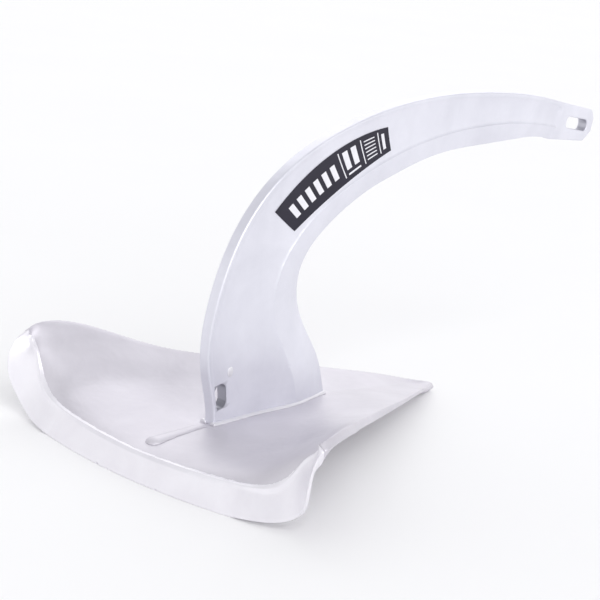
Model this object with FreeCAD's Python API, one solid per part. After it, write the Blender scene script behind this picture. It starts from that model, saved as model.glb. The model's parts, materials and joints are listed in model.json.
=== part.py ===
import FreeCAD, Part
import math
import os

V = FreeCAD.Vector

# Fluke anchor. X runs from the heel to the shackle end, Y to port, Z up. All sizes in mm.
# The anchor stands on its heel rim and its toe; the floor is Z = 0 and Y = 0 is the mid-plane.

# The pieces are drawn with X = 0 at the two bend lines of the heel rim. The rim bows back from there by
# HEEL_BOW. Every piece is then moved by ORIGIN_X, so that the origin is under the middle of the length.
HEEL_BOW = 17.0
SHACKLE_NOSE_X = 912.0
ORIGIN_X = (SHACKLE_NOSE_X - HEEL_BOW) / 2.0
STEEL_KG_PER_MM3 = 7.85e-6

# Palm: stations from heel to toe.
# (x on the mid-plane, x at the edge, half width, edge height, middle height, fold half width,
#  floor slope in degrees, edge thickness, middle thickness)
PALM_STATIONS = (
    (-6.0, 34.0, 238.0, 107.0, 28.0, 198.0, 0.5, 11.0, 14.0),
    (40.0, 68.0, 238.0, 114.5, 36.0, 154.0, 4.0, 11.0, 14.0),
    (90.0, 110.0, 221.0, 108.5, 38.0, 136.0, 5.0, 11.0, 14.0),
    (140.0, 152.0, 195.0, 94.5, 39.0, 113.0, 6.0, 11.0, 14.0),
    (190.0, 198.0, 167.0, 79.5, 40.0, 92.0, 7.0, 10.5, 14.0),
    (245.0, 250.0, 143.0, 68.5, 41.0, 75.0, 7.5, 10.5, 14.0),
    (305.0, 307.0, 121.0, 59.5, 41.5, 60.0, 8.0, 10.0, 14.0),
    (370.0, 371.0, 97.0, 49.0, 37.0, 48.0, 7.5, 7.5, 13.0),
    (440.0, 440.0, 69.5, 37.5, 28.5, 34.0, 6.5, 5.0, 11.5),
    (515.0, 515.0, 37.5, 25.0, 19.5, 18.0, 6.5, 4.5, 11.0),
    (583.0, 583.0, 2.5, 12.5, 12.0, 2.0, 0.0, 5.0, 12.0),
)
# Each half section is divided into HALF_STEPS equal lengths, measured on FINE_STEPS short chords.
HALF_STEPS = 10
FINE_STEPS = 200
# A section bows forward with the square of its width, up to this share of the half width.
BOW_REACH = 0.93

# Heel rim: the steep strip below the rear crease.
KNUCKLE_Y = 154.0
KNUCKLE_CREASE_Y = 144.0
RIM_THICK = 8.0
RIM_TIP_THICK = 4.0
RIM_SIDE_EDGE = (
    (0.0, 154.0, 0.0),
    (5.0, 186.0, 5.0),
    (14.0, 215.0, 12.0),
    (17.0, 235.5, 26.0),
    (12.5, 246.5, 49.0),
    (12.5, 249.0, 75.0),
    (28.0, 247.0, 99.0),
)
# Raised lip along the crease.
CREASE_BEAD_WIDTH = 9.0
CREASE_BEAD_RISE = 2.2
CREASE_BEAD_STEPS = 12
CREASE_BEAD_END = 0.985
BISECTIONS = 24

# Spine rib behind the shank.
RIB_RADIUS = 15.0
RIB_RISE = 4.6
RIB_START_X = 30.0
RIB_END_X = 112.0
RIB_FLANK = 4.0

# Shank: stations from root to shackle end.
# (outer x, outer z, inner x, inner z, throat depth, web half width, web edge half width,
#  throat half width, nose half width)
SHANK_STATIONS = (
    (120.0, 32.0, 340.0, 32.0, 74.0, 12.0, 20.0, 20.0, 4.0),
    (107.0, 95.0, 319.0, 83.0, 72.0, 11.0, 18.5, 18.5, 4.0),
    (99.0, 147.0, 284.0, 134.0, 68.0, 10.0, 17.0, 17.0, 4.0),
    (105.0, 193.0, 257.0, 182.0, 56.0, 8.5, 14.5, 15.0, 4.5),
    (124.0, 250.0, 262.0, 232.0, 44.0, 7.0, 11.0, 12.5, 5.0),
    (165.0, 311.0, 296.0, 268.0, 38.0, 6.0, 8.5, 10.5, 6.0),
    (226.0, 358.0, 345.0, 297.0, 34.0, 5.5, 7.5, 9.5, 6.0),
    (312.0, 394.0, 404.0, 320.0, 30.0, 5.2, 7.0, 9.0, 6.0),
    (430.0, 420.0, 487.0, 342.0, 27.0, 5.0, 6.5, 8.5, 6.0),
    (555.0, 429.0, 578.0, 353.0, 26.0, 5.0, 6.5, 8.5, 6.0),
    (690.0, 424.0, 691.0, 357.0, 24.0, 5.0, 6.5, 8.5, 6.0),
    (812.0, 407.0, 796.0, 352.0, 19.0, 5.2, 6.8, 8.5, 6.5),
)
STRIP_THICK = 6.0
STRIP_HALF = 8.0
STRIP_CORNER = 1.5
WEB_TOP_HALF = 7.0
THROAT_BEND = 0.55
THROAT_BEND_TAPER = 0.42

# Tripping eye low in the web, in a shallow round dimple.
EYE_X = 129.0
EYE_Z = 74.5
EYE_LONG = 33.0
EYE_WIDE = 19.0
EYE_LEAN = 11.0
EYE_END_RADIUS = 9.45
DIMPLE_RADIUS = 24.0
DIMPLE_FLOOR = 8.3
DIMPLE_SHIFT = 4.0

# Shackle end. A ramp leads from the dished web up to its flat cheeks.
END_HALF = 8.5
END_NOSE = ((905.0, 391.0), (SHACKLE_NOSE_X, 378.0), (909.0, 358.0), (889.0, 344.0))
END_CORNER = 7.0
END_EDGE = 1.8
RAMP_LONG = 13.0
RAMP_FLOOR = 5.2
RAMP_TOP = 9.5
RAMP_MARGIN = 8.0
SLOT_X = 865.0
SLOT_Z = 371.3
SLOT_LONG = 60.0
SLOT_HIGH = 17.0
SLOT_CORNER = 7.0
SLOT_TILT = -8.5

# Name labels, a curved sector on each side of the web.
LABEL_THICK = 0.6
LABEL_TOP = ((195.0, 298.0), (290.0, 362.0), (401.0, 391.0))
LABEL_BOTTOM = ((413.0, 360.0), (334.0, 327.0), (233.0, 271.0))

# Fillet weld round the shank's root: x, half width and height of its middle line.
WELD_RADIUS = 4.5
WELD_LINE = (
    (118.0, 8.0, 39.0),
    (150.0, 9.5, 39.2),
    (205.0, 13.5, 41.0),
    (263.0, 19.5, 42.6),
    (300.0, 12.0, 42.0),
    (333.0, 4.0, 41.2),
)
WELD_FLOOR = 34.0

# Half size of a tool block that reaches past the whole anchor sideways.
CLEAR_Y = 60.0


def mirrored(shape):
    """Copy of a shape on the other side of the mid-plane."""
    return shape.mirror(V(0, 0, 0), V(0, 1, 0))


def sewn_solid(faces):
    """One closed solid from faces that meet edge to edge."""
    shell = Part.Shell(faces)
    shell.sewShape()
    solid = Part.Solid(shell)
    if solid.Volume < 0:
        solid.reverse()
    return solid


def section_point(station, t):
    """Point of the palm's upper section at 0 (middle) to 1 (edge), port side, as y and z."""
    edge_y, edge_z, mid_z, fold_y = station[2:6]
    fold_z = mid_z + fold_y * math.tan(math.radians(station[6]))
    a = (1.0 - t) ** 4
    b = t ** 4
    c = 1.0 - a - b
    return c * fold_y + b * edge_y, a * mid_z + c * fold_z + b * edge_z


def even_steps(station):
    """Parameters that divide a section, from the middle to the edge, into equal lengths."""
    runs = [0.0]
    last = section_point(station, 0.0)
    for i in range(1, FINE_STEPS + 1):
        point = section_point(station, i / FINE_STEPS)
        runs.append(runs[-1] + math.dist(last, point))
        last = point
    steps = [0.0]
    i = 1
    for j in range(1, HALF_STEPS):
        wanted = runs[-1] * j / HALF_STEPS
        while runs[i] < wanted:
            i += 1
        part = (wanted - runs[i - 1]) / (runs[i] - runs[i - 1])
        steps.append((i - 1 + part) / FINE_STEPS)
    return steps + [1.0]


def section_normal(station, t):
    """Unit normal of the section pointing up and inboard, as y and z."""
    y0, z0 = section_point(station, max(t - 0.01, 0.0))
    y1, z1 = section_point(station, min(t + 0.01, 1.0))
    run = math.hypot(y1 - y0, z1 - z0)
    if t == 0.0:
        return 0.0, 1.0
    return -(z1 - z0) / run, (y1 - y0) / run


def palm_point(station, t, side, under):
    """Point on the palm's upper or under face."""
    y, z = section_point(station, t)
    reach = min(1.0, y / (BOW_REACH * station[2]))
    x = station[0] + (station[1] - station[0]) * reach ** 2
    if under:
        thick = station[8] + (station[7] - station[8]) * t ** 2
        ny, nz = section_normal(station, t)
        y -= thick * ny
        z -= thick * nz
    return V(x, side * y, z)


def palm_surface(under):
    """Smooth surface through every station from starboard to port."""
    rows = []
    for station in PALM_STATIONS:
        steps = even_steps(station)
        starboard = [palm_point(station, t, -1.0, under) for t in reversed(steps[1:])]
        port = [palm_point(station, t, 1.0, under) for t in steps]
        rows.append(starboard + port)
    surface = Part.BSplineSurface()
    surface.interpolate(rows)
    return surface


def rear_edge(surface):
    """The surface's edge curve along the heel, starboard to port."""
    return surface.uIso(surface.bounds()[0])


def palm():
    """Concave blade with a pointed toe and two upturned wings."""
    top = palm_surface(False)
    low = palm_surface(True)
    u0, u1, v0, v1 = top.bounds()
    a0, a1, b0, b1 = low.bounds()
    faces = [top.toShape(), low.toShape()]
    pairs = (
        (top.uIso(u0), low.uIso(a0)),
        (top.uIso(u1), low.uIso(a1)),
        (top.vIso(v0), low.vIso(b0)),
        (top.vIso(v1), low.vIso(b1)),
    )
    for upper, lower in pairs:
        faces.append(Part.makeRuledSurface(upper.toShape(), lower.toShape()))
    return sewn_solid(faces)


def curve_through(points):
    """Smooth curve through points."""
    curve = Part.BSplineCurve()
    curve.interpolate(points)
    return curve


def prism_between(a, b, c, d, flat=False):
    """Solid with four long edges a, b, c, d that run the same way, its b-c side plane if flat."""
    ring = [a, b, c, d]
    faces = []
    for i in range(4):
        faces.append(Part.makeRuledSurface(ring[i], ring[(i + 1) % 4]))
    starts = [e.Vertexes[0].Point for e in ring]
    ends = [e.Vertexes[-1].Point for e in ring]
    for p in (starts, ends):
        faces.append(Part.makeRuledSurface(Part.makeLine(p[0], p[1]), Part.makeLine(p[3], p[2])))
    if flat:
        sides = [Part.makeLine(starts[1], starts[2]), Part.makeLine(ends[1], ends[2])]
        faces[1] = Part.Face(Part.Wire(Part.__sortEdges__([b, sides[0], c, sides[1]])))
    return sewn_solid(faces)


def wedge_between(a, b, c):
    """Solid with three long edges a, b, c that run the same way."""
    ring = [a, b, c]
    faces = []
    for i in range(3):
        faces.append(Part.makeRuledSurface(ring[i], ring[(i + 1) % 3]))
    for end in (0, 1):
        p = [e.Vertexes[0].Point if end == 0 else e.Vertexes[-1].Point for e in ring]
        faces.append(Part.Face(Part.makePolygon(p + [p[0]])))
    return sewn_solid(faces)


def bisect(is_below):
    """Share between 0 and 1 at which a test stops being true."""
    low, high = 0.0, 1.0
    for _ in range(BISECTIONS):
        middle = (low + high) / 2.0
        if is_below(middle):
            low = middle
        else:
            high = middle
    return low


def knuckle_share():
    """Share of the rear edge's length, from starboard, at the starboard bend line."""
    curve = rear_edge(palm_surface(False))
    first, last = curve.FirstParameter, curve.LastParameter
    return bisect(lambda share: curve.value(first + (last - first) * share).y < -KNUCKLE_CREASE_Y)


def heel_edges(lo, hi):
    """Upper and under edge of the palm's rear face between two shares of its length."""
    edges = []
    for under in (False, True):
        curve = rear_edge(palm_surface(under))
        first, last = curve.FirstParameter, curve.LastParameter
        span = last - first
        edges.append(curve.toShape(first + span * lo, first + span * hi))
    return edges


def heel_rim_center(bend):
    """Length of rim between the two bend lines."""
    crease, under = heel_edges(bend, 1.0 - bend)
    outer = [V(0, -KNUCKLE_Y, 0), V(-HEEL_BOW, 0, 0), V(0, KNUCKLE_Y, 0)]
    inner = [p + V(RIM_THICK, 0, 0) for p in outer]
    b = Part.Arc(*outer).toShape()
    c = Part.Arc(*inner).toShape()
    return prism_between(crease, b, c, under, flat=True)


def heel_rim_port(bend):
    """Length of rim from the port bend line round the wing corner."""
    crease, under = heel_edges(1.0 - bend, 1.0)
    outer = [V(*p) for p in RIM_SIDE_EDGE]
    inner = []
    last = len(outer) - 1
    for i, p in enumerate(outer):
        thick = RIM_THICK + (RIM_TIP_THICK - RIM_THICK) * (i / last) ** 2
        inner.append(p + V(thick, 0, 0))
    b = curve_through(outer).toShape()
    c = curve_through(inner).toShape()
    return prism_between(crease, b, c, under)


def crease_bead(lo, hi):
    """Low raised lip on the palm just inside the crease."""
    surface = palm_surface(False)
    u0, u1, v0, v1 = surface.bounds()
    middle = (v0 + v1) / 2.0
    front_x = surface.value(u0, middle).x + CREASE_BEAD_WIDTH
    inset = bisect(lambda share: surface.value(u0 + (u1 - u0) * share, middle).x < front_x)
    rear = surface.uIso(u0)
    front = surface.uIso(u0 + (u1 - u0) * inset)
    first = v0 + (v1 - v0) * lo
    last = v0 + (v1 - v0) * hi
    ridge = []
    for i in range(CREASE_BEAD_STEPS + 1):
        v = first + (last - first) * i / CREASE_BEAD_STEPS
        normal = surface.normal(u0, v)
        if normal.z < 0:
            normal = normal * -1.0
        ridge.append((rear.value(v) + front.value(v)) * 0.5 + normal * CREASE_BEAD_RISE)
    a = rear.toShape(first, last)
    b = curve_through(ridge).toShape()
    c = front.toShape(first, last)
    return wedge_between(a, b, c)


def spine_rib(blade):
    """Low rounded rib with a rounded end, on the palm behind the shank."""
    axis_z = PALM_STATIONS[1][4] + RIB_RISE - RIB_RADIUS
    bar = Part.makeCylinder(RIB_RADIUS, RIB_END_X - RIB_START_X, V(RIB_START_X, 0, axis_z), V(1, 0, 0))
    bar = bar.fuse(Part.makeSphere(RIB_RADIUS, V(RIB_START_X, 0, axis_z)))
    bottom = V(0, -RIB_RADIUS, axis_z + RIB_FLANK)
    upper = Part.makeBox(RIB_END_X, 2 * RIB_RADIUS, RIB_RADIUS, bottom)
    return bar.common(upper).cut(blade)


def across(station):
    """Unit vector from the outer to the inner edge of a shank station, and its length."""
    ox, oz, ix, iz = station[:4]
    run = math.hypot(ix - ox, iz - oz)
    return V((ix - ox) / run, 0, (iz - oz) / run), run


def side_wire(station, marks, smooth):
    """Closed wire of a shank section from (depth, half width) marks, mirrored about the mid-plane."""
    along, _ = across(station)
    start = V(station[0], 0, station[1])
    right = [start + along * depth + V(0, -half, 0) for depth, half in marks]
    left = [start + along * depth + V(0, half, 0) for depth, half in marks]
    left.reverse()
    edges = []
    for run in (right, left):
        if smooth:
            edges.append(curve_through(run).toShape())
        else:
            for p, q in zip(run, run[1:]):
                edges.append(Part.makeLine(p, q))
    first = Part.makeLine(left[-1], right[0])
    last = Part.makeLine(right[-1], left[0])
    half = len(edges) // 2
    return Part.Wire([first] + edges[:half] + [last] + edges[half:])


def lofted(marks_of, smooth):
    """Solid through every shank station."""
    wires = [side_wire(station, marks_of(station), smooth) for station in SHANK_STATIONS]
    return Part.makeLoft(wires, True, False)


def strip_marks(station):
    """Flat strip along the outer edge, with its corners broken."""
    return ((0.0, STRIP_HALF - STRIP_CORNER), (STRIP_CORNER, STRIP_HALF), (STRIP_THICK, STRIP_HALF))


def web_marks(station, extra=0.0):
    """Dished side between the strip and the throat."""
    run = across(station)[1]
    end = run - station[4]
    mid = STRIP_THICK + (end - STRIP_THICK) * 0.5
    return ((STRIP_THICK, WEB_TOP_HALF + extra), (mid, station[5] + extra), (end, station[6] + extra))


def throat_marks(station):
    """Bevelled strip along the inner edge, a V-shaped nose low down."""
    run = across(station)[1]
    start = run - station[4]
    mid = start + station[4] * THROAT_BEND
    half = station[7] + (station[8] - station[7]) * THROAT_BEND_TAPER
    return ((start, station[7]), (mid, half), (run, station[8]))


def slot_prism(x, z, long, high, corner, tilt):
    """Block the shape of a rounded slot through the mid-plane."""
    box = Part.makeBox(long, 2 * CLEAR_Y, high, V(-long / 2, -CLEAR_Y, -high / 2))
    upright = [e for e in box.Edges if abs(e.tangentAt(e.FirstParameter).y) > 0.9]
    box = box.makeFillet(corner, upright)
    box.rotate(V(0, 0, 0), V(0, 1, 0), -tilt)
    box.translate(V(x, 0, z))
    return box


def shank_back_strip(blade):
    """Strip along the outer edge of the shank."""
    return lofted(strip_marks, False).cut(blade)


def shank_web(blade):
    """Dished web with the tripping eye and its dimple."""
    web = lofted(web_marks, True).cut(blade)
    web = web.cut(slot_prism(EYE_X, EYE_Z, EYE_WIDE, EYE_LONG, EYE_END_RADIUS, EYE_LEAN))
    for side in (-1, 1):
        start = V(EYE_X + DIMPLE_SHIFT, side * DIMPLE_FLOOR, EYE_Z)
        web = web.cut(Part.makeCylinder(DIMPLE_RADIUS, CLEAR_Y, start, V(0, side, 0)))
    return web


def shank_throat(blade):
    """Strip along the inner edge of the shank."""
    return lofted(throat_marks, False).cut(blade)


def ramp_wedge(side):
    """Block that leaves a ramp between the web and one cheek of the shackle end."""
    station = SHANK_STATIONS[-1]
    down, run = across(station)
    along = V(-down.z, 0, down.x)
    if along.x < 0:
        along = along * -1.0
    start = V(station[0], 0, station[1]) + down * RAMP_MARGIN
    reach = RAMP_LONG * (RAMP_TOP - RAMP_FLOOR) / (END_HALF - RAMP_FLOOR)
    corners = [
        start + V(0, side * RAMP_FLOOR, 0),
        start + V(0, side * RAMP_TOP, 0),
        start + along * reach + V(0, side * RAMP_TOP, 0),
    ]
    face = Part.Face(Part.makePolygon(corners + [corners[0]]))
    return face.extrude(down * (run - station[4] - RAMP_MARGIN))


def shackle_end():
    """Flat end with the shackle slot."""
    last = SHANK_STATIONS[-1]
    points = [(last[0], last[1]), *END_NOSE, (last[2], last[3]), (last[0], last[1])]
    outline = [V(x, -END_HALF, z) for x, z in points]
    body = Part.Face(Part.makePolygon(outline)).extrude(V(0, 2 * END_HALF, 0))
    first_nose_x = END_NOSE[-1][0] - END_CORNER
    corners = [e for e in body.Edges if e.BoundBox.YLength > END_HALF and e.BoundBox.XMin > first_nose_x]
    body = body.makeFillet(END_CORNER, corners)
    body = body.cut(slot_prism(SLOT_X, SLOT_Z, SLOT_LONG, SLOT_HIGH, SLOT_CORNER, SLOT_TILT))
    rims = [e for e in body.Edges if e.BoundBox.YLength < 0.1 and e.BoundBox.XMin > last[0]]
    body = body.makeFillet(END_EDGE, rims)
    return body.cut(ramp_wedge(-1)).cut(ramp_wedge(1))


def root_weld(side, blade, pieces):
    """Fillet weld where one side of the shank meets the palm."""
    curve = curve_through([V(x, side * y, z) for x, y, z in WELD_LINE])
    start = curve.value(curve.FirstParameter)
    circle = Part.Wire(Part.makeCircle(WELD_RADIUS, start, curve.tangent(curve.FirstParameter)[0]))
    bead = Part.Wire(curve.toShape()).makePipeShell([circle], True, True)
    above = Part.makeBox(WELD_LINE[-1][0], 2 * CLEAR_Y, CLEAR_Y, V(WELD_RADIUS, -CLEAR_Y, WELD_FLOOR))
    bead = bead.common(above).cut(blade)
    for piece in pieces:
        bead = bead.cut(piece)
    return max(bead.Solids, key=lambda solid: solid.Volume)


def label(side, web):
    """Thin curved label that follows the web."""
    top = [V(x, 0, z) for x, z in LABEL_TOP]
    low = [V(x, 0, z) for x, z in LABEL_BOTTOM]
    edges = [Part.Arc(*top).toShape(), Part.makeLine(top[2], low[0]), Part.Arc(*low).toShape(),
             Part.makeLine(low[2], top[0])]
    sheet = Part.Face(Part.Wire(edges))
    block = sheet.extrude(V(0, side * CLEAR_Y, 0))
    swollen = lofted(lambda station: web_marks(station, LABEL_THICK), True)
    return block.common(swollen).cut(web)


def main():
    """Build every piece and write one file each."""
    os.makedirs("parts", exist_ok=True)
    blade = palm()
    strip = shank_back_strip(blade)
    web = shank_web(blade)
    throat = shank_throat(blade)
    bend = knuckle_share()
    rim_port = heel_rim_port(bend)
    bead_port = crease_bead(1.0 - bend, CREASE_BEAD_END)
    pieces = {
        "palm": blade,
        "heel_rim_center": heel_rim_center(bend),
        "heel_rim_port": rim_port,
        "heel_rim_starboard": mirrored(rim_port),
        "crease_bead_center": crease_bead(bend, 1.0 - bend),
        "crease_bead_port": bead_port,
        "crease_bead_starboard": mirrored(bead_port),
        "spine_rib": spine_rib(blade),
        "shank_back_strip": strip,
        "shank_web": web,
        "shank_throat": throat,
        "shackle_end": shackle_end(),
        "root_weld_port": root_weld(1, blade, (strip, web, throat)),
        "root_weld_starboard": root_weld(-1, blade, (strip, web, throat)),
        "label_port": label(1, web),
        "label_starboard": label(-1, web),
    }
    for name, shape in pieces.items():
        shape.translate(V(-ORIGIN_X, 0, 0))
        shape.exportStep(os.path.join("parts", name + ".step"))
        print(name, len(shape.Solids), shape.isValid(), round(shape.Volume))
    total = sum(shape.Volume for shape in pieces.values())
    print("mass in kg", round(total * STEEL_KG_PER_MM3, 1))


main()
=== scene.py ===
import json
import logging
import math
from dataclasses import dataclass, field
from enum import Enum

import bpy
from mathutils import Matrix, Vector


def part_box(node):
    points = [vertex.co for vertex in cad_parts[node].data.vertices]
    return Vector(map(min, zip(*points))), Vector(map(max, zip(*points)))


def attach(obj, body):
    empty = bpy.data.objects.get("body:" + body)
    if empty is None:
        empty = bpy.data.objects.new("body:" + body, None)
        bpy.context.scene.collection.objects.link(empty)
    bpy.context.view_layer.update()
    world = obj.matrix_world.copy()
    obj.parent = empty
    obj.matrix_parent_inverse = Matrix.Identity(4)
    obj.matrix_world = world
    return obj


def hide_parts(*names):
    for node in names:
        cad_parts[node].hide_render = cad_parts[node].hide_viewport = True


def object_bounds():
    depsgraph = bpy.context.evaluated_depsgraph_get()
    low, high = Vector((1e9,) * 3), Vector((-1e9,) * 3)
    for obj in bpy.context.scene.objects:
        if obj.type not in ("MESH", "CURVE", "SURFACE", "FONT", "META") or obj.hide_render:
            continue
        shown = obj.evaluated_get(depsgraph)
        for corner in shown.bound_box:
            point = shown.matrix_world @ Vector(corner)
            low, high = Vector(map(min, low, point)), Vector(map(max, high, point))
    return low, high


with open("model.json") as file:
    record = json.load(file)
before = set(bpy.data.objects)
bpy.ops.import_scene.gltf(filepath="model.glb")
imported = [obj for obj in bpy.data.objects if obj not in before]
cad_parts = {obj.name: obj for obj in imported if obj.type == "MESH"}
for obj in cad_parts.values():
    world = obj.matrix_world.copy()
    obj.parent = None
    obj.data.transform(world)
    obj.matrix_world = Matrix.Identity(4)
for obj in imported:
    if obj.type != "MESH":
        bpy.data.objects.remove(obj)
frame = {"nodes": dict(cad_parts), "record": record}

logging.basicConfig(level=logging.INFO, format="%(message)s")
LOG = logging.getLogger("anchor")

MM = 0.001
ROOT_BODY = "root"
CAD_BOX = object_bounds()
# Point attribute for painted shade: it darkens the zinc on the walls of the tripping eye and the
# shackle slot, where the shade inside the holes falls.
PAINTED_SHADE = "painted_shade"
WELD_GAP = 0.02 * MM
SMOOTH_SHARE = 0.5


class Zinc(Enum):
    """Where on the anchor a hot-dip zinc skin lies."""

    PALM = "palm"
    RIM = "rim"
    SHANK = "shank"
    BEAD = "bead"


class Side(Enum):
    """Side of the mid-plane."""

    PORT = 1
    STARBOARD = -1


# ---------------------------------------------------------------- node helpers


@dataclass
class NodeBench:
    """Short calls for laying out one material's nodes."""

    material: bpy.types.Material

    @classmethod
    def start(cls, name: str) -> "NodeBench":
        """Make an empty node material.

        Args:
            name: The material's name.

        Returns:
            A bench over the new material.
        """
        material = bpy.data.materials.new(name)
        material.use_nodes = True
        material.node_tree.nodes.clear()
        return cls(material)

    def add(self, kind: str, **values: object) -> bpy.types.Node:
        """Add a node and set its plain attributes.

        Args:
            kind: The node's type name.
            values: Attributes to set on it.

        Returns:
            The new node.
        """
        node = self.material.node_tree.nodes.new(kind)
        for key, value in values.items():
            setattr(node, key, value)
        return node

    def join(self, source: bpy.types.NodeSocket, target: bpy.types.NodeSocket) -> None:
        """Link two sockets.

        Args:
            source: Socket that gives the value.
            target: Socket that takes it.
        """
        self.material.node_tree.links.new(source, target)

    def place(self, stretch: tuple[float, float, float] = (1.0, 1.0, 1.0)) -> bpy.types.NodeSocket:
        """Object coordinates in metres, stretched along each axis.

        Args:
            stretch: Factor along x, y and z.

        Returns:
            The coordinates.
        """
        where = self.add("ShaderNodeTexCoord")
        mapping = self.add("ShaderNodeMapping")
        mapping.inputs["Scale"].default_value = stretch
        self.join(where.outputs["Object"], mapping.inputs["Vector"])
        return mapping.outputs["Vector"]

    def noise(
        self,
        where: bpy.types.NodeSocket,
        scale: float,
        detail: float = 3.0,
        rough: float = 0.5,
        warp: float = 0.0,
    ) -> bpy.types.NodeSocket:
        """Cloudy pattern from 0 to 1.

        Args:
            where: Coordinates.
            scale: Clouds per metre.
            detail: Number of finer layers.
            rough: Share kept by each finer layer.
            warp: How far the pattern is bent.

        Returns:
            The pattern.
        """
        node = self.add("ShaderNodeTexNoise")
        node.inputs["Scale"].default_value = scale
        node.inputs["Detail"].default_value = detail
        node.inputs["Roughness"].default_value = rough
        node.inputs["Distortion"].default_value = warp
        self.join(where, node.inputs["Vector"])
        return node.outputs["Fac"]

    def cells(self, where: bpy.types.NodeSocket, scale: float) -> bpy.types.NodeSocket:
        """One grey value per crystal.

        Args:
            where: Coordinates.
            scale: Crystals per metre.

        Returns:
            The pattern, from 0 to 1.
        """
        node = self.add("ShaderNodeTexVoronoi", feature="F1")
        node.inputs["Scale"].default_value = scale
        node.inputs["Randomness"].default_value = 1.0
        self.join(where, node.inputs["Vector"])
        grey = self.add("ShaderNodeSeparateColor")
        self.join(node.outputs["Color"], grey.inputs["Color"])
        return grey.outputs["Red"]

    def spread(
        self,
        value: bpy.types.NodeSocket,
        low: float,
        high: float,
        out_low: float = 0.0,
        out_high: float = 1.0,
    ) -> bpy.types.NodeSocket:
        """Map a range to another range, clamped.

        Args:
            value: Value to map.
            low: Start of its range.
            high: End of its range.
            out_low: Result at the start.
            out_high: Result at the end.

        Returns:
            The mapped value.
        """
        node = self.add("ShaderNodeMapRange")
        node.inputs["From Min"].default_value = low
        node.inputs["From Max"].default_value = high
        node.inputs["To Min"].default_value = out_low
        node.inputs["To Max"].default_value = out_high
        self.join(value, node.inputs["Value"])
        return node.outputs["Result"]

    def sum(
        self, a: bpy.types.NodeSocket, b: bpy.types.NodeSocket, share: float = 1.0
    ) -> bpy.types.NodeSocket:
        """Add a share of one value to another.

        Args:
            a: Value taken whole.
            b: Value taken in part.
            share: Share of b.

        Returns:
            a plus share times b.
        """
        node = self.add("ShaderNodeMath", operation="MULTIPLY_ADD")
        node.inputs[1].default_value = share
        self.join(b, node.inputs[0])
        self.join(a, node.inputs[2])
        return node.outputs["Value"]

    def tint(
        self,
        value: bpy.types.NodeSocket,
        dark: tuple[float, float, float],
        light: tuple[float, float, float],
    ) -> bpy.types.NodeSocket:
        """Colour between dark and light.

        Args:
            value: 0 for dark, 1 for light.
            dark: Dark colour.
            light: Light colour.

        Returns:
            The colour.
        """
        node = self.add("ShaderNodeMix", data_type="RGBA")
        node.inputs["A"].default_value = (*dark, 1.0)
        node.inputs["B"].default_value = (*light, 1.0)
        self.join(value, node.inputs["Factor"])
        return node.outputs["Result"]

    def blend(
        self,
        value: bpy.types.NodeSocket,
        colour: bpy.types.NodeSocket,
        other: tuple[float, float, float],
    ) -> bpy.types.NodeSocket:
        """Fade a colour to another where value is 1.

        Args:
            value: 0 for the colour, 1 for the other.
            colour: Colour to start from.
            other: Colour to fade to.

        Returns:
            The colour.
        """
        node = self.add("ShaderNodeMix", data_type="RGBA")
        node.inputs["B"].default_value = (*other, 1.0)
        self.join(colour, node.inputs["A"])
        self.join(value, node.inputs["Factor"])
        return node.outputs["Result"]

    def shader(
        self,
        colour: bpy.types.NodeSocket,
        rough: bpy.types.NodeSocket,
        metal: float,
        gloss: float = 0.5,
    ) -> bpy.types.Node:
        """Principled shader wired to the output.

        Args:
            colour: Base colour.
            rough: Roughness.
            metal: Metallic share.
            gloss: Strength of the plain reflection.

        Returns:
            The shader node.
        """
        node = self.add("ShaderNodeBsdfPrincipled")
        node.inputs["Metallic"].default_value = metal
        node.inputs["Specular IOR Level"].default_value = gloss
        self.join(colour, node.inputs["Base Color"])
        self.join(rough, node.inputs["Roughness"])
        out = self.add("ShaderNodeOutputMaterial")
        self.join(node.outputs["BSDF"], out.inputs["Surface"])
        return node

    def bump(
        self, shader: bpy.types.Node, height: bpy.types.NodeSocket, depth: float, strength: float
    ) -> None:
        """Relief on a shader.

        Args:
            shader: The shader that takes the relief.
            height: Pattern from 0 to 1.
            depth: Height of the pattern in metres.
            strength: Share of the full effect.
        """
        node = self.add("ShaderNodeBump")
        node.inputs["Strength"].default_value = strength
        node.inputs["Distance"].default_value = depth
        self.join(height, node.inputs["Height"])
        self.join(node.outputs["Normal"], shader.inputs["Normal"])


# ---------------------------------------------------------------- finishes


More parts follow.
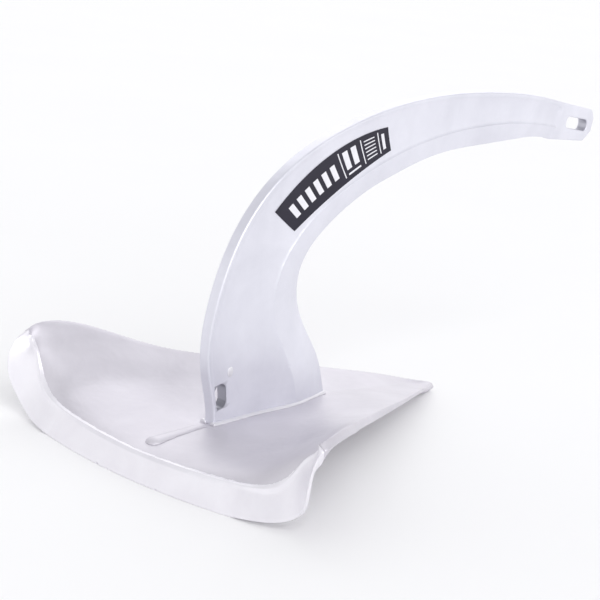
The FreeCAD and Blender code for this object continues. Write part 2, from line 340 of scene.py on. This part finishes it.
@dataclass(frozen=True)
class ZincFinish:
    """Hot-dip galvanising: cloudy grey zinc with faint crystals, runs and grain, plus painted shade
    where a point attribute marks the inside of the holes.
    """

    place: Zinc
    dark: tuple[float, float, float]
    light: tuple[float, float, float]
    rough_low: float
    rough_high: float
    metal: float
    cloud_per_m: float = 9.0
    crystal_per_m: float = 85.0
    run_stretch: tuple[float, float, float] = (16.0, 16.0, 3.0)
    grain_per_m: float = 900.0
    relief: float = 0.35
    relief_depth: float = 0.9 * MM
    sag_per_m: float = 55.0
    runs_share: float = 0.55
    crystal_share: float = 0.05
    grain_share: float = 0.10
    shade_range: tuple[float, float] = (0.62, 1.10)
    gloss_range: tuple[float, float] = (0.1, 1.3)
    # Colour of the painted shade on the walls of the tripping eye and the shackle slot.
    painted_shade: tuple[float, float, float] = (0.26, 0.26, 0.30)

    def material(self) -> bpy.types.Material:
        """Build the finish.

        Returns:
            The node material.
        """
        bench = NodeBench.start(f"zinc_{self.place.value}")
        flat = bench.place()
        runs = bench.noise(bench.place(self.run_stretch), 1.0, 4.0, 0.6, 0.4)
        cloud = bench.noise(flat, self.cloud_per_m, 5.0, 0.58, 0.5)
        crystal = bench.cells(flat, self.crystal_per_m)
        grain = bench.noise(flat, self.grain_per_m, 2.0, 0.6)
        mottle = bench.sum(bench.sum(cloud, runs, self.runs_share), crystal, self.crystal_share)
        mottle = bench.sum(mottle, grain, self.grain_share)
        shade = bench.spread(mottle, *self.shade_range)
        colour = bench.tint(shade, self.dark, self.light)
        # Painted shade: fade to the dark colour where the point attribute marks the inside of the eye
        # and slot.
        painted_shade = bench.add("ShaderNodeAttribute", attribute_name=PAINTED_SHADE)
        colour = bench.blend(painted_shade.outputs["Fac"], colour, self.painted_shade)
        gloss = bench.sum(bench.spread(runs, 0.3, 0.7), crystal, 0.4)
        rough = bench.spread(gloss, *self.gloss_range, self.rough_low, self.rough_high)
        shader = bench.shader(colour, rough, self.metal)
        sag = bench.noise(flat, self.sag_per_m, 3.0, 0.5)
        height = bench.sum(bench.sum(sag, cloud, 1.5), grain, 0.12)
        bench.bump(shader, height, self.relief_depth, self.relief)
        return bench.material


@dataclass(frozen=True)
class LabelFilm:
    """Dark satin film with faint scuffs."""

    dark: tuple[float, float, float] = (0.010, 0.009, 0.016)
    light: tuple[float, float, float] = (0.026, 0.023, 0.040)
    scuff_stretch: tuple[float, float, float] = (400.0, 40.0, 60.0)
    rough_low: float = 0.28
    rough_high: float = 0.42
    gloss: float = 0.22
    grain_per_m: float = 1500.0
    grain_depth: float = 0.05 * MM

    def material(self) -> bpy.types.Material:
        """Build the film's material."""
        bench = NodeBench.start("label_film")
        flat = bench.place()
        cloud = bench.noise(flat, 30.0, 4.0, 0.6)
        scuff = bench.noise(bench.place(self.scuff_stretch), 1.0, 3.0, 0.7)
        colour = bench.tint(bench.sum(cloud, scuff, 0.25), self.dark, self.light)
        rough = bench.spread(scuff, 0.3, 0.7, self.rough_low, self.rough_high)
        shader = bench.shader(colour, rough, 0.0, self.gloss)
        bench.bump(shader, bench.noise(flat, self.grain_per_m, 2.0), self.grain_depth, 0.3)
        return bench.material


@dataclass(frozen=True)
class PrintInk:
    """Pale ink of the plain marks."""

    dark: tuple[float, float, float] = (0.70, 0.69, 0.74)
    light: tuple[float, float, float] = (0.88, 0.88, 0.91)
    rough_low: float = 0.35
    rough_high: float = 0.5
    gloss: float = 0.4
    grain_per_m: float = 1800.0
    grain_depth: float = 0.03 * MM

    def material(self) -> bpy.types.Material:
        """Build the ink's material."""
        bench = NodeBench.start("print_ink")
        flat = bench.place()
        cloud = bench.noise(flat, 120.0, 4.0, 0.6)
        colour = bench.tint(cloud, self.dark, self.light)
        rough = bench.spread(cloud, 0.3, 0.7, self.rough_low, self.rough_high)
        shader = bench.shader(colour, rough, 0.0, self.gloss)
        bench.bump(shader, bench.noise(flat, self.grain_per_m, 2.0), self.grain_depth, 0.3)
        return bench.material


@dataclass(frozen=True)
class FloorPaint:
    """Plain pale studio floor."""

    grey: float = 0.93
    swing: float = 0.01
    rough_low: float = 0.75
    rough_high: float = 0.85
    gloss: float = 0.2

    def material(self) -> bpy.types.Material:
        """Build the floor's material."""
        bench = NodeBench.start("studio_floor")
        flat = bench.place()
        cloud = bench.noise(flat, 2.0, 2.0)
        low = (self.grey - self.swing,) * 3
        high = (self.grey + self.swing,) * 3
        colour = bench.tint(cloud, low, high)
        rough = bench.spread(cloud, 0.0, 1.0, self.rough_low, self.rough_high)
        bench.shader(colour, rough, 0.0, self.gloss)
        return bench.material


# The palm's zinc is given darker colours and the rim's lighter colours than the shank's. This is
# painted shade on the up-facing palm and painted light on the rear-facing rim; they are the same
# zinc.
FINISHES = (
    ZincFinish(Zinc.PALM, (0.60, 0.58, 0.63), (0.71, 0.69, 0.74), 0.42, 0.54, 0.50),
    ZincFinish(Zinc.RIM, (0.80, 0.78, 0.83), (0.89, 0.88, 0.92), 0.36, 0.48, 0.45),
    ZincFinish(Zinc.SHANK, (0.70, 0.70, 0.77), (0.80, 0.80, 0.87), 0.32, 0.46, 0.50),
    ZincFinish(Zinc.BEAD, (0.72, 0.71, 0.75), (0.83, 0.82, 0.86), 0.30, 0.42, 0.50),
)


# ---------------------------------------------------------------- mesh helpers


def clear_selection() -> None:
    """Leave nothing selected, in object mode."""
    if bpy.context.object and bpy.context.object.mode != "OBJECT":
        bpy.ops.object.mode_set(mode="OBJECT")
    bpy.ops.object.select_all(action="DESELECT")


def take(piece: bpy.types.Object) -> None:
    """Make one object the only selected and active one.

    Args:
        piece: The object.
    """
    clear_selection()
    piece.select_set(True)
    bpy.context.view_layer.objects.active = piece


def copy_of_node(node: str, name: str) -> bpy.types.Object:
    """Copy a CAD node's mesh as a new piece with its loose triangles merged.

    Args:
        node: The CAD node.
        name: The new piece's name.

    Returns:
        The new object, at the origin.
    """
    mesh = frame["nodes"][node].data.copy()
    piece = bpy.data.objects.new(name, mesh)
    mesh.name = name
    mesh.materials.clear()
    bpy.context.scene.collection.objects.link(piece)
    take(piece)
    bpy.ops.object.mode_set(mode="EDIT")
    bpy.ops.mesh.select_all(action="SELECT")
    bpy.ops.mesh.remove_doubles(threshold=WELD_GAP)
    bpy.ops.object.mode_set(mode="OBJECT")
    bpy.ops.mesh.customdata_custom_splitnormals_clear()
    return piece


def apply_modifier(piece: bpy.types.Object, kind: str, **values: object) -> None:
    """Add a modifier with settings and apply it at once.

    Args:
        piece: The object.
        kind: The modifier's type name.
        values: Its settings.
    """
    take(piece)
    modifier = piece.modifiers.new(kind.title(), kind)
    for key, value in values.items():
        setattr(modifier, key, value)
    bpy.ops.object.modifier_apply(modifier=modifier.name)


def dress(
    piece: bpy.types.Object, material: bpy.types.Material, replaced: tuple[str, ...] = ()
) -> bpy.types.Object:
    """Give a finished piece its material and body, and hide the nodes it stands for.

    Args:
        piece: The finished piece.
        material: Its material.
        replaced: CAD nodes it stands for.

    Returns:
        The same piece.
    """
    piece.data.materials.clear()
    piece.data.materials.append(material)
    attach(piece, ROOT_BODY)
    if replaced:
        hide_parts(*replaced)
    LOG.info("%s: %d faces", piece.name, len(piece.data.polygons))
    return piece


@dataclass(frozen=True)
class ZincSkin:
    """How CAD solids are turned into one dipped, softly rounded skin.

    The fillet is swollen out and drawn back in, which fills the sharp inner corners.
    """

    voxel_mm: float
    rounds: int
    most_triangles: int = 150_000
    fillet_mm: float = 0.0

    def over(self, nodes: tuple[str, ...], name: str) -> bpy.types.Object:
        """Make the dipped skin over CAD nodes that are welded or cast together.

        Args:
            nodes: The CAD nodes.
            name: The new piece's name.

        Returns:
            The smooth closed piece.
        """
        copies = [copy_of_node(node, f"{name}_{node}") for node in nodes]
        piece = copies[0]
        take(piece)
        for other in copies[1:]:
            other.select_set(True)
        if len(copies) > 1:
            bpy.ops.object.join()
        piece.name = name
        piece.data.name = name
        piece.data.remesh_voxel_size = self.voxel_mm * MM
        take(piece)
        bpy.ops.object.voxel_remesh()
        if self.fillet_mm:
            apply_modifier(piece, "DISPLACE", strength=self.fillet_mm * MM, mid_level=0.0)
            bpy.ops.object.voxel_remesh()
            apply_modifier(piece, "DISPLACE", strength=-self.fillet_mm * MM, mid_level=0.0)
        if self.rounds:
            apply_modifier(piece, "SMOOTH", factor=SMOOTH_SHARE, iterations=self.rounds)
        triangles = 2 * len(piece.data.polygons)
        if triangles > self.most_triangles:
            apply_modifier(piece, "DECIMATE", ratio=self.most_triangles / triangles)
        take(piece)
        bpy.ops.object.shade_smooth()
        return piece


# ---------------------------------------------------------------- the anchor


@dataclass
class Fluke:
    """Palm, heel rim with its crease lip, and spine rib."""

    palm_skin: ZincSkin = field(default_factory=lambda: ZincSkin(1.5, 5, 190_000))
    rim_skin: ZincSkin = field(default_factory=lambda: ZincSkin(1.0, 7, 190_000, 2.0))
    rib_skin: ZincSkin = field(default_factory=lambda: ZincSkin(1.0, 18, 30_000))

    def build(self, palm: bpy.types.Material, rim: bpy.types.Material) -> None:
        """Skin and dress every fluke piece.

        Args:
            palm: Finish of the palm and rib.
            rim: Finish of the rim and crease lip.
        """
        lengths = ("center", "port", "starboard")
        rims = tuple(f"heel_rim_{length}" for length in lengths)
        lips = tuple(f"crease_bead_{length}" for length in lengths)
        dress(self.palm_skin.over(("palm",), "palm_skin"), palm, ("palm",))
        dress(self.rim_skin.over(rims + lips, "heel_rim_skin"), rim, rims + lips)
        rib = ("spine_rib",)
        dress(self.rib_skin.over(rib, "spine_rib_skin"), palm, rib)


@dataclass
class Shank:
    """Back strip, dished web, throat strip and shackle end as one casting, and the root welds."""

    skin: ZincSkin = field(default_factory=lambda: ZincSkin(1.15, 8, 195_000, 2.2))
    weld_skin: ZincSkin = field(default_factory=lambda: ZincSkin(0.7, 4, 40_000))
    drop_radius: float = 5.0 * MM
    drop_rise: float = 1.1 * MM
    drop_from_eye: Vector = field(default_factory=lambda: Vector((0.012, -0.0084, 0.030)))
    eye_half: tuple[float, float, float] = (9.6 * MM, 7.6 * MM, 16.6 * MM)
    eye_lean_deg: float = 11.0
    slot_half: tuple[float, float, float] = (30.2 * MM, 6.6 * MM, 8.7 * MM)
    slot_lean_deg: float = -8.5
    # Painted shade inside the eye and slot: width of its fade, and its strength in each hole.
    painted_shade_fade: float = 1.6 * MM
    eye_painted_shade: float = 1.0
    slot_painted_shade: float = 0.55
    drop_stretch: float = 1.3

    def mark_place(self, name: str) -> Vector:
        """Place of a mount in the record.

        Args:
            name: The mount's name.

        Returns:
            Its place in metres.
        """
        return Vector(next(m["pos_m"] for m in frame["record"]["mounts"] if m["name"] == name))

    def paint_hole_shade(self, piece: bpy.types.Object) -> None:
        """Mark the walls of the tripping eye and the shackle slot for painted shade: a darker colour
        that stands in for the shade inside the holes.

        Args:
            piece: The shank's skin.
        """
        holes = (
            (self.mark_place("tripping_eye"), self.eye_half, self.eye_lean_deg, self.eye_painted_shade),
            (self.mark_place("shackle_slot"), self.slot_half, self.slot_lean_deg, self.slot_painted_shade),
        )
        painted_shade = piece.data.attributes.new(PAINTED_SHADE, "FLOAT", "POINT")
        for index, vertex in enumerate(piece.data.vertices):
            value = 0.0
            for place, half, lean, depth in holes:
                if (vertex.co - place).length > 2.0 * max(half):
                    continue
                local = Matrix.Rotation(math.radians(lean), 3, "Y") @ (vertex.co - place)
                over = max(abs(local.x) - half[0], abs(local.y) - half[1], abs(local.z) - half[2])
                value = max(value, depth * min(1.0, max(0.0, -over / self.painted_shade_fade + 0.5)))
            painted_shade.data[index].value = value

    def drop(self, zinc: bpy.types.Material) -> None:
        """Small frozen zinc drop above the tripping eye, on the starboard side.

        Args:
            zinc: Its finish.
        """
        eye = self.mark_place("tripping_eye")
        clear_selection()
        bpy.ops.mesh.primitive_uv_sphere_add(segments=48, ring_count=24, radius=self.drop_radius)
        piece = bpy.context.object
        piece.name = "zinc_drop"
        bpy.ops.transform.resize(value=(1.0, self.drop_rise / self.drop_radius, self.drop_stretch))
        bpy.ops.transform.translate(value=eye + self.drop_from_eye)
        bpy.ops.object.transform_apply(location=True, rotation=True, scale=True)
        bpy.ops.object.shade_smooth()
        dress(piece, zinc)

    def build(self, zinc: bpy.types.Material, bead: bpy.types.Material) -> None:
        """Skin and dress every shank piece.

        Args:
            zinc: Finish of the shank.
            bead: Finish of the welds and the drop.
        """
        body = ("shank_back_strip", "shank_web", "shank_throat", "shackle_end")
        casting = self.skin.over(body, "shank_skin")
        # Painted shade on the walls of the eye and slot, carried by a point attribute.
        self.paint_hole_shade(casting)
        dress(casting, zinc, body)
        for side in Side:
            node = f"root_weld_{side.name.lower()}"
            dress(self.weld_skin.over((node,), f"{node}_skin"), bead, (node,))
        self.drop(bead)


@dataclass(frozen=True)
class Mark:
    """One plain pale bar on the label, by shares of its length and of its height."""

    start: float
    end: float
    low: float
    high: float


@dataclass(frozen=True)
class Arc:
    """Circle arc in the mid-plane."""

    centre: Vector
    radius: float
    start: float
    end: float

    @classmethod
    def through(cls, a: Vector, b: Vector, c: Vector) -> "Arc":
        """Find the arc through three points.

        Args:
            a: First end, as x and z.
            b: A point between.
            c: Other end.

        Returns:
            The arc.
        """
        d = 2.0 * ((b - a).x * (c - a).y - (b - a).y * (c - a).x)
        ab, ac = (b - a).length_squared, (c - a).length_squared
        centre = a + Vector(((c - a).y * ab - (b - a).y * ac, (b - a).x * ac - (c - a).x * ab)) / d
        start = math.atan2(a.y - centre.y, a.x - centre.x)
        end = math.atan2(c.y - centre.y, c.x - centre.x)
        return cls(centre, (a - centre).length, start, end)

    def at(self, share: float) -> Vector:
        """Point at a share of the arc's length.

        Args:
            share: 0 at the first end, 1 at the other.

        Returns:
            The point, as x and z.
        """
        turn = self.start + (self.end - self.start) * share
        return self.centre + self.radius * Vector((math.cos(turn), math.sin(turn)))


@dataclass
class Labels:
    """The two dark films with plain pale bars."""

    top: tuple[tuple[float, float], ...] = ((0.0, 0.225), (0.4358, 0.7583), (0.945, 1.0))
    bottom: tuple[tuple[float, float], ...] = ((0.1743, 0.0), (0.6376, 0.4667), (1.0, 0.7417))
    standoff: float = 30.0 * MM
    thick: float = 0.25 * MM
    steps_per_length: int = 90
    rows: int = 6

    def marks(self) -> list[Mark]:
        """Lay out the bars: blocks, dividers, tall blocks, fine rules and an end bar.

        Returns:
            The bars, in the order they are printed.
        """
        found = [Mark(0.075 + 0.076 * i, 0.117 + 0.076 * i, 0.26, 0.70) for i in range(6)]
        found += [Mark(start, start + 0.008, 0.12, 0.90) for start in (0.545, 0.742, 0.897)]
        found += [Mark(0.580, 0.625, 0.30, 0.84), Mark(0.655, 0.700, 0.30, 0.84)]
        found += [Mark(0.580, 0.700, 0.14, 0.19)]
        found += [Mark(0.772, 0.868, 0.18 + 0.12 * i, 0.215 + 0.12 * i) for i in range(6)]
        found += [Mark(0.930, 0.956, 0.20, 0.80)]
        return found

    def arc(self, film: bpy.types.Object, shares: tuple[tuple[float, float], ...]) -> Arc:
        """Long edge of the film.

        Args:
            film: The CAD label.
            shares: Three points on the edge, by shares of the film's box.

        Returns:
            The edge's arc.
        """
        low, high = (Vector(corner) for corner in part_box(film.name))
        size = high - low
        points = [Vector((low.x + u * size.x, low.z + w * size.z)) for u, w in shares]
        return Arc.through(*points)

    def bar(self, mark: Mark, side: Side, film: bpy.types.Object) -> bpy.types.Object:
        """Bend one bar between the film's two long edges and lay it on the film.

        Args:
            mark: The bar.
            side: The side it is on.
            film: The CAD label.

        Returns:
            The closed bar.
        """
        top, bottom = self.arc(film, self.top), self.arc(film, self.bottom)
        columns = max(3, round((mark.end - mark.start) * self.steps_per_length))
        clear_selection()
        bpy.ops.mesh.primitive_grid_add(x_subdivisions=columns, y_subdivisions=self.rows, size=1.0)
        piece = bpy.context.object
        for vertex in piece.data.vertices:
            along = mark.start + (vertex.co.x + 0.5) * (mark.end - mark.start)
            above = mark.low + (vertex.co.y + 0.5) * (mark.high - mark.low)
            spot = bottom.at(along).lerp(top.at(along), above)
            vertex.co = (spot.x, side.value * self.standoff, spot.y)
        apply_modifier(
            piece, "SHRINKWRAP", target=film, wrap_method="PROJECT", use_project_y=True,
            use_negative_direction=True, use_positive_direction=True, offset=0.0,
        )
        apply_modifier(piece, "SOLIDIFY", thickness=2.0 * self.thick, offset=0.0)
        take(piece)
        bpy.ops.object.mode_set(mode="EDIT")
        bpy.ops.mesh.select_all(action="SELECT")
        bpy.ops.mesh.normals_make_consistent(inside=False)
        bpy.ops.object.mode_set(mode="OBJECT")
        return piece

    def build(self, film: bpy.types.Material, ink: bpy.types.Material) -> None:
        """Dress the films and print the bars on both sides.

        Args:
            film: Material of the films.
            ink: Material of the bars.
        """
        for side in Side:
            name = f"label_{side.name.lower()}"
            node = frame["nodes"][name]
            node.data.materials.clear()
            node.data.materials.append(film)
            bars = [self.bar(mark, side, node) for mark in self.marks()]
            take(bars[0])
            for bar in bars:
                bar.select_set(True)
            bpy.ops.object.join()
            piece = bpy.context.object
            piece.name = f"{name}_print"
            dress(piece, ink)


# ---------------------------------------------------------------- the studio


@dataclass(frozen=True)
class Lamp:
    """One wide soft light, far away, by the way from the anchor towards it."""

    name: str
    towards: tuple[float, float, float]
    spread_deg: float
    strength: float

    def hang(self, distance: float) -> None:
        """Hang the light.

        Args:
            distance: How far from the anchor it hangs.
        """
        towards = Vector(self.towards).normalized()
        data = bpy.data.lights.new(self.name, "SUN")
        data.angle = math.radians(self.spread_deg)
        data.energy = self.strength
        lamp = bpy.data.objects.new(self.name, data)
        bpy.context.scene.collection.objects.link(lamp)
        lamp.location = towards * distance
        lamp.rotation_mode = "QUATERNION"
        lamp.rotation_quaternion = (-towards).to_track_quat("-Z", "Y")


@dataclass
class Studio:
    """Floor, soft light and camera."""

    azimuth: float = -51.09
    elevation: float = 15.05
    roll: float = 6.49
    distance: float = 2.144
    aim: Vector = field(default_factory=lambda: Vector((-0.1783, 0.0, 0.1759)))
    lens_mm: float = 102.0
    zenith: tuple[float, float, float] = (0.48, 0.48, 0.50)
    mid_sky: tuple[float, float, float] = (0.66, 0.66, 0.68)
    surround: float = 1.14
    sky_steps: tuple[float, float, float] = (0.1, 0.42, 0.95)
    floor_half: float = 14.0
    sensor_mm: float = 36.0
    lamp_distance: float = 3.0
    lamps: tuple[Lamp, ...] = (
        Lamp("soft_key", (-0.35, -0.72, 0.60), 50.0, 1.2),
        Lamp("soft_top", (0.60, 0.45, 0.66), 60.0, 0.7),
    )

    def floor(self, paint: FloorPaint) -> None:
        """Lay a wide plain floor under the anchor.

        Args:
            paint: The floor's finish.
        """
        clear_selection()
        low = CAD_BOX[0]
        bpy.ops.mesh.primitive_plane_add(size=2.0 * self.floor_half, location=(0.0, 0.0, low.z))
        plane = bpy.context.object
        plane.name = "studio_floor"
        plane.data.materials.append(paint.material())

    def sky(self) -> None:
        """Pale surround, brighter near the horizon than overhead."""
        world = bpy.data.worlds.new("studio_surround")
        bpy.context.scene.world = world
        world.use_nodes = True
        tree = world.node_tree
        tree.nodes.clear()
        where = tree.nodes.new("ShaderNodeTexCoord")
        split = tree.nodes.new("ShaderNodeSeparateXYZ")
        ramp = tree.nodes.new("ShaderNodeValToRGB")
        ramp.color_ramp.elements[0].position = self.sky_steps[0]
        ramp.color_ramp.elements[0].color = (1.0, 1.0, 1.0, 1.0)
        ramp.color_ramp.elements[1].position = self.sky_steps[2]
        ramp.color_ramp.elements[1].color = (*self.zenith, 1.0)
        middle = ramp.color_ramp.elements.new(self.sky_steps[1])
        middle.color = (*self.mid_sky, 1.0)
        back = tree.nodes.new("ShaderNodeBackground")
        back.inputs["Strength"].default_value = self.surround
        out = tree.nodes.new("ShaderNodeOutputWorld")
        tree.links.new(where.outputs["Generated"], split.inputs["Vector"])
        tree.links.new(split.outputs["Z"], ramp.inputs["Fac"])
        tree.links.new(ramp.outputs["Color"], back.inputs["Color"])
        tree.links.new(back.outputs["Background"], out.inputs["Surface"])

    def camera(self) -> None:
        """Set the camera by its angles round the aim point."""
        a, e = math.radians(self.azimuth), math.radians(self.elevation)
        back = Vector((math.sin(a) * math.cos(e), -math.cos(a) * math.cos(e), math.sin(e)))
        right = Vector((math.cos(a), math.sin(a), 0.0))
        up = back.cross(right)
        turn = math.radians(self.roll)
        across = right * math.cos(turn) + up * math.sin(turn)
        above = up * math.cos(turn) - right * math.sin(turn)
        data = bpy.data.cameras.new("studio_camera")
        data.lens = self.lens_mm
        data.sensor_width = self.sensor_mm
        data.dof.use_dof = False
        camera = bpy.data.objects.new("studio_camera", data)
        bpy.context.scene.collection.objects.link(camera)
        place = self.aim + back * self.distance
        basis = Matrix((across, above, back)).transposed().to_4x4()
        camera.matrix_world = Matrix.Translation(place) @ basis
        bpy.context.scene.camera = camera

    def build(self) -> None:
        """Set up the whole studio."""
        self.floor(FloorPaint())
        self.sky()
        for lamp in self.lamps:
            lamp.hang(self.lamp_distance)
        self.camera()
        scene = bpy.context.scene
        scene.view_settings.view_transform = "Standard"
        scene.view_settings.look = "None"


def main() -> None:
    """Build the finishes, the anchor and the studio."""
    palm, rim, shank, bead = (finish.material() for finish in FINISHES)
    Fluke().build(palm, rim)
    Shank().build(shank, bead)
    Labels().build(LabelFilm().material(), PrintInk().material())
    Studio().build()


if __name__ == "__main__":
    main()
